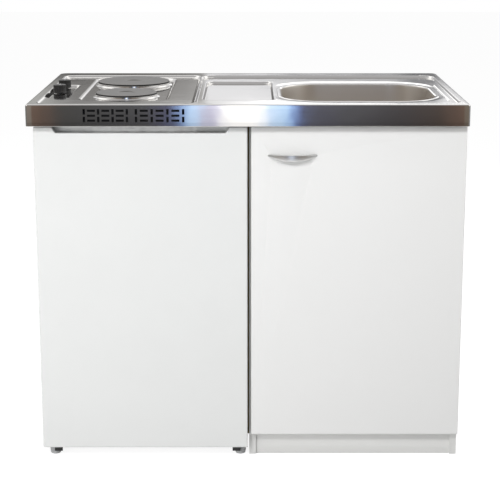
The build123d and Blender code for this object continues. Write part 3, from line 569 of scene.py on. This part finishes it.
def satin_steel(name):
    """Stainless brushed with a fine belt after drawing: a soft, slightly warm sheen whose lines
    run round the wall, about 2.4 mm apart because the real 0.1 mm ones are too fine to show."""
    look, tree, end = new_look(name)
    place = add_node(tree, "ShaderNodeTexCoord").outputs["Object"]
    round_wall = add_node(tree, "ShaderNodeMapping", {"Vector": place, "Scale": (8, 8, 420)})
    lines = add_node(tree, "ShaderNodeTexNoise", {
        "Vector": round_wall.outputs[0], "Scale": 1.0, "Detail": 4.0})
    brush = add_node(tree, "ShaderNodeBump", {
        "Height": lines.outputs["Fac"], "Strength": 0.6, "Distance": 0.00004})
    dull = add_node(tree, "ShaderNodeMapRange", {0: lines.outputs["Fac"], 3: 0.36, 4: 0.50})
    shader = add_node(tree, "ShaderNodeBsdfPrincipled", {
        "Base Color": linear("cec8c0"), "Metallic": 1.0, "Roughness": dull.outputs[0],
        "Normal": brush.outputs[0]})
    tree.links.new(shader.outputs[0], end)
    return look


# The lip is polished with the sheet, and the satin starts a little below it
below_lip = [int(face.center.z * 1000 < rim_level - satin_drop) for face in bowl.data.polygons]
bowl.data.polygons.foreach_set("material_index", below_lip)
dress(bowl, "polished_steel", "sink_bowl", looks=(sheet_steel, satin_steel("satin_drawn_stainless")))

# Waste: a pressed steel cup screwed into the bowl's floor and a basket that lifts out of it. Both
# have the bowl's satin finish.


def paint(look, *nodes):
    """Shows nodes of the frame in their own meshes with one look."""
    for node in nodes:
        frame["nodes"][node].data.materials.clear()
        frame["nodes"][node].data.materials.append(look)


paint(satin_steel("satin_pressed_waste_steel"), "waste_flange", "strainer_basket")

# Hotplates: grey-coated cast iron turned flat on top, with a sunk centre, each in a bright spill
# ring spun from thin stainless that flares from the plate's rim to the sheet.


def spun(name, outline, centre, count=96, sharp=60):
    """Turns an outline of radii and heights round an upright axis, from its foot outwards, up and
    then inwards, in millimetres."""
    turn = np.linspace(0, 2 * math.pi, count + 1)[None, :-1]
    radius, level = np.array(outline)[:, :1], np.array(outline)[:, 1:]
    points = np.dstack([
        centre[0] + radius * np.cos(turn), centre[1] + radius * np.sin(turn), level + 0 * turn])
    return surface(name, points, around=True, sharp=sharp)


def cast_iron(name, centre):
    """Cast iron under a baked grey coating: dull, with the turning's rings every 3 mm, which is
    coarser than the real feed so that they show, and patches worn by heat."""
    look, tree, end = new_look(name)
    place = add_node(tree, "ShaderNodeTexCoord").outputs["Object"]
    centred = add_node(tree, "ShaderNodeMapping", {
        "Vector": place, "Location": (-centre[0] / 1000, -centre[1] / 1000, 0)})
    rings = add_node(tree, "ShaderNodeTexWave", {
        "Vector": centred.outputs[0], "Scale": 105.0, "Distortion": 0.6, "Detail": 1.0},
        wave_type="RINGS", rings_direction="Z")
    worn = add_node(tree, "ShaderNodeTexNoise", {"Vector": place, "Scale": 22.0, "Detail": 5.0})
    tone = add_node(tree, "ShaderNodeMix", {
        0: worn.outputs["Fac"], 6: linear("5c5b59"), 7: linear("726f6c")}, data_type="RGBA")
    feed = add_node(tree, "ShaderNodeBump", {
        "Height": rings.outputs["Fac"], "Strength": 0.5, "Distance": 0.00006})
    dull = add_node(tree, "ShaderNodeMapRange", {0: worn.outputs["Fac"], 3: 0.34, 4: 0.48})
    shader = add_node(tree, "ShaderNodeBsdfPrincipled", {
        "Base Color": tone.outputs[2], "Metallic": 0.6, "Roughness": dull.outputs[0],
        "Normal": feed.outputs[0]})
    tree.links.new(shader.outputs[0], end)
    return look


ring_steel = polished_steel("spun_ring_stainless", roughness=0.05, waviness=0.0002)
# The plates' turned sides keep the black skin of the casting
casting_skin = speckled("black_casting_skin", "161514", "201f1d", 0.6)
plate_height, plate_over_sheet = 9.5, 11.0
for name, centre in plates.items():
    radius, plate_top = plate_radii[name], corners(f"hotplate_{name}")[1][2]
    rim = plate_top - plate_height
    plate = spun(f"plate_{name}", [
        (0, rim), (radius - 3, rim), (radius - 0.6, rim + 0.6), (radius - 0.2, rim + 2),
        (radius - 0.2, plate_top - 1.6),
        *zip(radius - 1.6 + 1.4 * np.cos(quarter), plate_top - 1.4 + 1.4 * np.sin(quarter)),
        (radius - 6, plate_top), (30, plate_top), (22, plate_top), (20.5, plate_top - 0.4),
        (19, plate_top - 1.6), (17.5, plate_top - 2.3), (15, plate_top - 2.5), (0, plate_top - 2.5),
    ], centre)
    on_side = [int(abs(face.normal.z) < 0.5) for face in plate.data.polygons]
    plate.data.polygons.foreach_set("material_index", on_side)
    grey_coat = cast_iron(f"grey_coated_cast_iron_{name}", centre)
    dress(plate, "cast_iron", f"hotplate_{name}", looks=[grey_coat, casting_skin])

    sheet_at = plate_top - plate_over_sheet
    flare = np.linspace(0, 1, 9)
    ring = spun(f"ring_{name}", [
        (radius - 6, sheet_at + 0.4), (radius + 6.8, sheet_at + 0.2), (radius + 7, sheet_at + 0.7),
        *zip(radius + 1.4 + 5.2 * (1 - flare) ** 4, sheet_at + 1 + 5.6 * flare),
        (radius + 1.0, plate_top - 4.0), (radius + 0.5, plate_top - 4.4), (radius + 0.4, plate_top - 6.0),
        (radius + 0.4, rim - 0.3), (radius - 6, rim - 0.3), (radius - 6, sheet_at + 0.4),
    ], centre)
    dress(ring, "polished_steel", "spill_rings", looks=[ring_steel])

# Knobs: moulded black plastic, finely fluted for the grip, with a white pointer line let into the
# top and plain white figures round it. They push onto the switches' spindles.


def slab(name, outline, low, high, soft):
    """A flat piece with a given outline in plan, anticlockwise, and a rounded top edge. Each row
    is the outline drawn in to a share of its size about its middle, at a height of its own."""
    outline = np.array(outline, float)
    middle = outline.mean(axis=0)
    span = np.abs(outline - middle).max()
    rows = [
        (0.0, low), (1.0, low), (1.0, high - soft), (1 - 0.3 * soft / span, high - 0.3 * soft),
        (1 - soft / span, high), (0.0, high),
    ]
    points = [
        np.column_stack([middle + (outline - middle) * share, np.full(len(outline), at)])
        for share, at in rows
    ]
    return surface(name, np.array(points), around=True)


def figure(name, text, size, place, turn):
    """A printed figure as a thin mesh: its height in millimetres, its place and its turn."""
    letters = bpy.data.curves.new(name, "FONT")
    letters.body, letters.size, letters.extrude = text, size / 1000, 0.00005
    letters.align_x = letters.align_y = "CENTER"
    shape = bpy.data.objects.new(name, letters)
    mesh = bpy.data.meshes.new_from_object(shape)
    bpy.data.objects.remove(shape)
    mesh.transform(Matrix.Translation(Vector(place) / 1000) @ Matrix.Rotation(turn, 4, "Z"))
    return placed(name, mesh)


# Moulded plastic with a fine spark-eroded grain gives a soft black shine, and the print is flat
knob_plastic = speckled("black_moulded_plastic", "1c1b1a", "242322", 0.36, grain=260, depth=0.00002)
white_print = speckled("white_dial_print", "e6e6e2", "efefeb", 0.5)
grip_turn = np.linspace(0, 2 * math.pi, 145)[None, :-1]
flutes, figure_height = 24, 3.2
for name, (centre, radius) in knobs.items():
    knob_low, knob_high = corners(f"knob_{name}")
    foot_level, crown = knob_low[2], knob_high[2]
    # The grip's profile as radii, heights and the flutes' depths there
    outline = np.array([
        (0, foot_level, 0), (radius - 0.8, foot_level, 0), (radius, foot_level + 0.6, 0),
        (radius, foot_level + 1.8, 0), (radius - 0.2, foot_level + 2.4, 0.6),
        (radius - 0.4, crown - 2.4, 0.6),
        *zip(
            radius - 2.4 + 2.0 * np.cos(quarter),
            crown - 2.0 + 2.0 * np.sin(quarter),
            0.5 * np.cos(quarter),
        ),
        (radius - 5, crown, 0), (0, crown, 0),
    ])
    reach = outline[:, :1] - outline[:, 2:] * (0.5 + 0.5 * np.cos(flutes * grip_turn))
    knob = surface(f"grip_{name}", np.dstack([
        centre[0] + reach * np.cos(grip_turn),
        centre[1] + reach * np.sin(grip_turn),
        outline[:, 1:2] + 0 * reach,
    ]), around=True)
    dress(knob, "black_plastic", f"knob_{name}", looks=[knob_plastic])
    line = [(-0.7, 0), (0.7, 0), (0.7, radius - 7), (0, radius - 6.2), (-0.7, radius - 7)]
    line = [(centre[0] + a, centre[1] + b) for a, b in line]
    marks = [slab(f"pointer_{name}", line, crown - 0.4, crown + 0.25, 0.15)]
    for step, text in enumerate("0123"):
        angle = math.radians(90 - 90 * step)
        reach = radius - 4.0
        place = (centre[0] + reach * math.cos(angle), centre[1] + reach * math.sin(angle), crown + 0.02)
        marks.append(figure(f"figure_{text}_{name}", text, figure_height, place, angle - math.pi / 2))
    for mark in marks:
        mark.data.materials.append(white_print)
        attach(mark, f"knob_{name}")

# Hob underside: the black wiring tray, the switches on their bracket, terminals, gland and the
# bars that pull the plates down. All of it is screwed up under the sheet. Zinc plate gives a cool
# grey shine, baked enamel a smooth black, and the switches' plastic a duller one. The tray's black
# is partly painted shade: it darkens what the air slots in the worktop's front show.
zinc_plate = speckled("zinc_plated_steel", "8f9396", "a9acac", 0.34, grain=40, depth=0.00003, metallic=1.0)
black_enamel = speckled("black_baked_enamel", "0c0c0c", "111111", 0.45)
switch_plastic = speckled("black_switch_plastic", "161617", "1f1f20", 0.5)
paint(zinc_plate, "hotplate_clamps", "switch_bracket", "spindle_front", "spindle_rear")
# The tray's black is partly painted shade, for the air slots in front of it.
paint(black_enamel, "hob_pan")
paint(switch_plastic, "hob_switches", "terminal_block", "cable_gland")


def sawn_wood(name):
    """Planed spruce: growth lines about 4 mm apart that run along Y, in two yellow browns."""
    look, tree, end = new_look(name)
    place = add_node(tree, "ShaderNodeTexCoord").outputs["Object"]
    along = add_node(tree, "ShaderNodeMapping", {"Vector": place, "Scale": (1.0, 0.06, 1.0)})
    growth = add_node(tree, "ShaderNodeTexWave", {
        "Vector": along.outputs[0], "Scale": 80.0, "Distortion": 5.0, "Detail": 2.0, "Detail Scale": 0.6})
    tone = add_node(tree, "ShaderNodeMix", {
        0: growth.outputs["Fac"], 6: linear("c9a66f"), 7: linear("e0c596")}, data_type="RGBA")
    grain = add_node(tree, "ShaderNodeBump", {
        "Height": growth.outputs["Fac"], "Strength": 1.0, "Distance": 0.0001})
    shader = add_node(tree, "ShaderNodeBsdfPrincipled", {
        "Base Color": tone.outputs[2], "Roughness": 0.65, "Normal": grain.outputs[0]})
    tree.links.new(shader.outputs[0], end)
    return look


paint(sawn_wood("planed_spruce"), "support_battens")

# Fridge door: a pan of white-enamelled sheet steel round foam, with rounded edges and a finger
# grip let into the top. It hangs on a pin at the top left and one at the bottom left.


def rounded(piece, radius, segments=3, angle=30):
    """Rounds a piece's edges with a bevel and keeps its flats flat."""
    bevel = piece.modifiers.new("rounded_edges", "BEVEL")
    bevel.width = radius / 1000
    bevel.segments = segments
    bevel.limit_method = "ANGLE"
    bevel.angle_limit = math.radians(angle)
    bevel.harden_normals = True
    piece.data.shade_smooth()
    return piece


def softened(node, radius, segments=3, angle=30):
    """A copy of a node's mesh with its seams welded and its flats made whole, then rounded."""
    built = bmesh.new()
    built.from_mesh(frame["nodes"][node].data)
    bmesh.ops.remove_doubles(built, verts=built.verts, dist=weld)
    bmesh.ops.dissolve_limit(built, angle_limit=math.radians(1), verts=built.verts, edges=built.edges)
    mesh = bpy.data.meshes.new(f"{node}_softened")
    built.to_mesh(mesh)
    built.free()
    return rounded(placed(f"{node}_softened", mesh), radius, segments, angle)


# y0 is the door's front face, y1 the back of the grip and y2 the back of the door
(x0, y0, z0), (x1, y2, z1) = corners("fridge_door_panel")
grip_x, grip_floor, grip_slant, grip_depth = (-437, -50), 782, 8, 22
y1 = y0 + grip_depth
front_face = [
    (x0, z0), (x1, z0), (x1, z1), (grip_x[1] + grip_slant, z1),
    (grip_x[1], grip_floor), (grip_x[0], grip_floor), (grip_x[0] - grip_slant, z1), (x0, z1),
]
# Eight corners of the front face, four at the back of the grip and four at the back of the door
points = [(x, y0, z) for x, z in front_face]
points += [(x, y1, z) for x, z in front_face[3:7]]
points += [(x0, y2, z0), (x1, y2, z0), (x1, y2, z1), (x0, y2, z1)]
faces = [
    (0, 1, 2, 3, 4, 5, 6, 7), (13, 12, 15, 14), (0, 12, 13, 1), (1, 13, 14, 2), (7, 15, 12, 0),
    (2, 14, 15, 7, 6, 11, 8, 3), (3, 8, 9, 4), (4, 9, 10, 5), (5, 10, 11, 6), (8, 11, 10, 9),
]
mesh = bpy.data.meshes.new("fridge_door_block")
mesh.from_pydata([(x / 1000, y / 1000, z / 1000) for x, y, z in points], [], faces)
door_block = rounded(placed("fridge_door_block", mesh), 3.0, segments=4)
# Sprayed and baked: an even white with a soft shine and the faintest orange peel
enamel = speckled("white_enamelled_steel", "dddedd", "e1e2e1", 0.32, grain=45, depth=0.00001)
dress(door_block, "white_enamel", "fridge_door_panel", "fridge_door_foam", looks=[enamel])

# Fridge body and door inside: enamelled casing round foam, vacuum-formed white liners, a grey
# magnetic gasket, and clear racks and bin. The foam is dull and yellow, the liners have a low
# shine, and the rubber has almost none.
foam = speckled("yellow_rigid_foam", "d8c98e", "e2d6a4", 0.9)
liner_plastic = speckled("white_formed_plastic", "e0e1df", "e7e8e6", 0.4)
gasket_rubber = speckled("grey_magnet_gasket", "b9bab8", "c4c5c3", 0.6)
dress(softened("fridge_casing", 1.0), "white_enamel", "fridge_casing", looks=[enamel])
dress(softened("fridge_liner", 0.6), "white_plastic", "fridge_liner", looks=[liner_plastic])
dress(softened("fridge_door_liner", 0.9), "white_plastic", "fridge_door_liner", looks=[liner_plastic])
dress(softened("door_gasket", 1.5), "gasket_rubber", "door_gasket", looks=[gasket_rubber])
paint(foam, "fridge_foam")


def see_through(name, colour, roughness, index):
    """A clear sheet: it passes light with a faint tint, a sharp shine and slow waves of about
    80 mm from its rolling or moulding."""
    look, tree, end = new_look(name)
    place = add_node(tree, "ShaderNodeTexCoord").outputs["Object"]
    flow = add_node(tree, "ShaderNodeTexNoise", {"Vector": place, "Scale": 12.0, "Detail": 1.0})
    relief = add_node(tree, "ShaderNodeBump", {
        "Height": flow.outputs["Fac"], "Strength": 1.0, "Distance": 0.0004})
    shader = add_node(tree, "ShaderNodeBsdfPrincipled", {
        "Base Color": linear(colour), "Roughness": roughness, "IOR": index, "Transmission Weight": 0.92,
        "Normal": relief.outputs[0]})
    tree.links.new(shader.outputs[0], end)
    return look


shelf_glass = see_through("tempered_shelf_glass", "d6ece2", 0.03, 1.52)
clear_plastic = see_through("clear_moulded_plastic", "eef2f5", 0.08, 1.49)
for node in ("glass_shelves", "crisper_cover"):
    dress(softened(node, 0.8), "shelf_glass", node, looks=[shelf_glass])
for node in ("crisper_bin", "door_racks"):
    dress(softened(node, 0.7), "clear_plastic", node, looks=[clear_plastic])

# Cold plate, thermostat, and the cooling set at the back: a pressed compressor can on its feet,
# its evaporation tray, a folded carrier and a bent condenser tube. The rolled aluminium is bright,
# the lacquer a shiny black, and the dial and the tray are plain mouldings.
rolled_aluminium = speckled("rolled_aluminium", "b8babb", "cdcfcf", 0.3, grain=60, metallic=1.0)
dial_plastic = speckled("grey_dial_plastic", "9a9c9d", "a5a7a8", 0.45)
can_lacquer = speckled("black_can_lacquer", "101011", "18181a", 0.28, grain=60, depth=0.00004)
tray_plastic = speckled("black_tray_plastic", "1a1a1b", "232324", 0.5)
dress(softened("evaporator_plate", 0.5), "aluminium", "evaporator_plate", looks=[rolled_aluminium])
dress(softened("thermostat_housing", 1.0), "white_plastic", "thermostat_housing", looks=[liner_plastic])
dress(softened("thermostat_knob", 0.4), "grey_plastic", "thermostat_knob", looks=[dial_plastic])
dress(softened("drip_tray", 0.6), "black_plastic", "drip_tray", looks=[tray_plastic])
dress(softened("compressor_carrier", 0.4), "zinc_steel", "compressor_carrier", looks=[zinc_plate])
dress(softened("compressor", 0.5, angle=50), "black_steel", "compressor", looks=[can_lacquer])
paint(can_lacquer, "condenser_coil")

# Fridge hinges and feet: a zinc-plated top plate, black base brackets, and screw feet, each one
# grey moulding of a waisted pad and a threaded stem, which gives a soft, pale shine.
thread_radius, thread_depth, thread_pitch = 4.0, 0.45, 1.5
foot_plastic = speckled("grey_foot_plastic", "b2b3b4", "bdbebf", 0.5)
dress(softened("top_hinge", 0.5), "zinc_steel", "top_hinge", looks=[zinc_plate])
dress(softened("base_brackets", 0.5), "black_steel", "base_brackets", looks=[black_enamel])
dress(softened("rear_feet", 1.0), "grey_plastic", "rear_feet", looks=[foot_plastic])
for side_name in ("left", "right"):
    node = f"front_foot_{side_name}"
    centre, radius = disc(node)
    foot_top, stem_top = 18.0, corners(node)[1][2]
    thread = [
        (thread_radius - thread_depth * (step % 2), foot_top + 0.2 + thread_pitch / 2 * step)
        for step in range(6)
    ]
    pad = spun(f"{node}_turned", [
        (0, 0), (radius - 3.2, 0), (radius - 2.2, 0.6), (radius - 1.8, 1.8), (radius - 1.3, 7.0),
        (radius - 0.7, 7.5), (radius - 0.6, 8.6), (radius - 1.0, 9.2), (radius, foot_top - 3),
        (radius - 0.6, foot_top - 1), (radius - 2.4, foot_top), (4.6, foot_top), *thread,
        (3.4, stem_top), (0, stem_top),
    ], centre, count=48, sharp=35)
    dress(pad, "grey_plastic", node, looks=[foot_plastic])

# Cabinet: 16 mm chipboard faced with white melamine, its cut edges lipped with a thin band, and
# a thin hardboard back. Boards are dowelled and glued, and the shelf lies on four pins.


def faced_board(name, colour, roughness):
    """White melamine on chipboard: almost smooth, with the slow hollows of the board's press,
    about 33 mm across, and a pearl grain of 1.4 mm, coarser than the real one so that it shows."""
    look, tree, end = new_look(name)
    place = add_node(tree, "ShaderNodeTexCoord").outputs["Object"]
    pearl = add_node(tree, "ShaderNodeTexNoise", {"Vector": place, "Scale": 700.0, "Detail": 2.0})
    hollows = add_node(tree, "ShaderNodeTexNoise", {"Vector": place, "Scale": 30.0, "Detail": 2.0})
    press = add_node(tree, "ShaderNodeBump", {
        "Height": hollows.outputs["Fac"], "Strength": 1.0, "Distance": 0.00008})
    relief = add_node(tree, "ShaderNodeBump", {
        "Height": pearl.outputs["Fac"], "Strength": 1.0, "Distance": 0.00002, "Normal": press.outputs[0]})
    shader = add_node(tree, "ShaderNodeBsdfPrincipled", {
        "Base Color": linear(colour), "Roughness": roughness, "Normal": relief.outputs[0]})
    tree.links.new(shader.outputs[0], end)
    return look


melamine = faced_board("white_melamine_board", "e2e2e0", 0.42)
door_board = faced_board("white_door_board", "e6e6e5", 0.36)
# Pressed wood fibre: a dull brown
hardboard = speckled("brown_hardboard", "8a6a4c", "9b7b5b", 0.8, grain=120)
boards = (
    "side_panel_left", "side_panel_right", "bottom_panel", "plinth", "front_rail", "rear_rail", "shelf",
)
for node in boards:
    dress(softened(node, 0.5, segments=2), "white_board", node, looks=[melamine])
dress(softened("cabinet_door", 1.0), "white_board", "cabinet_door", looks=[door_board])
dress(softened("back_panel", 0.3, segments=1), "hardboard", "back_panel", looks=[hardboard])
dress(softened("shelf_pins", 0.8), "zinc_steel", "shelf_pins", looks=[zinc_plate])

# Door handle: a cast zinc crescent, satin chromed, bowed out from the door and screwed on from
# its inside. The hinges are nickel-plated pressings: arm, link and cup. The satin chrome is pale
# with a soft shine, and the nickel is warmer.
satin_chrome = speckled("satin_chromed_zinc", "d4d4d3", "dcdcdb", 0.3, grain=200, depth=0.00001, metallic=1.0)
nickel_plate = speckled("nickel_plated_hinge", "a8a69f", "b5b3ab", 0.28, metallic=1.0)
dress(softened("door_handle", 1.8, segments=5, angle=40), "satin_chrome", "door_handle", looks=[satin_chrome])
for node in ("hinge_arms", "hinge_links", "hinge_cups"):
    dress(softened(node, 0.4, segments=2, angle=40), "zinc_steel", node, looks=[nickel_plate])
dress(softened("handle_screws", 0.3, segments=2, angle=40), "zinc_steel", "handle_screws", looks=[zinc_plate])

# Waste pipes: white moulded plastic with a low shine, pushed together and held by union nuts that
# are tightened by hand.
pipe_plastic = speckled("white_pipe_plastic", "dcdcd8", "e4e4e0", 0.42)
paint(pipe_plastic, "waste_body", "trap_outlet", "trap_nuts")
dress(softened("bottle_trap", 1.0, angle=40), "white_plastic", "bottle_trap", looks=[pipe_plastic])
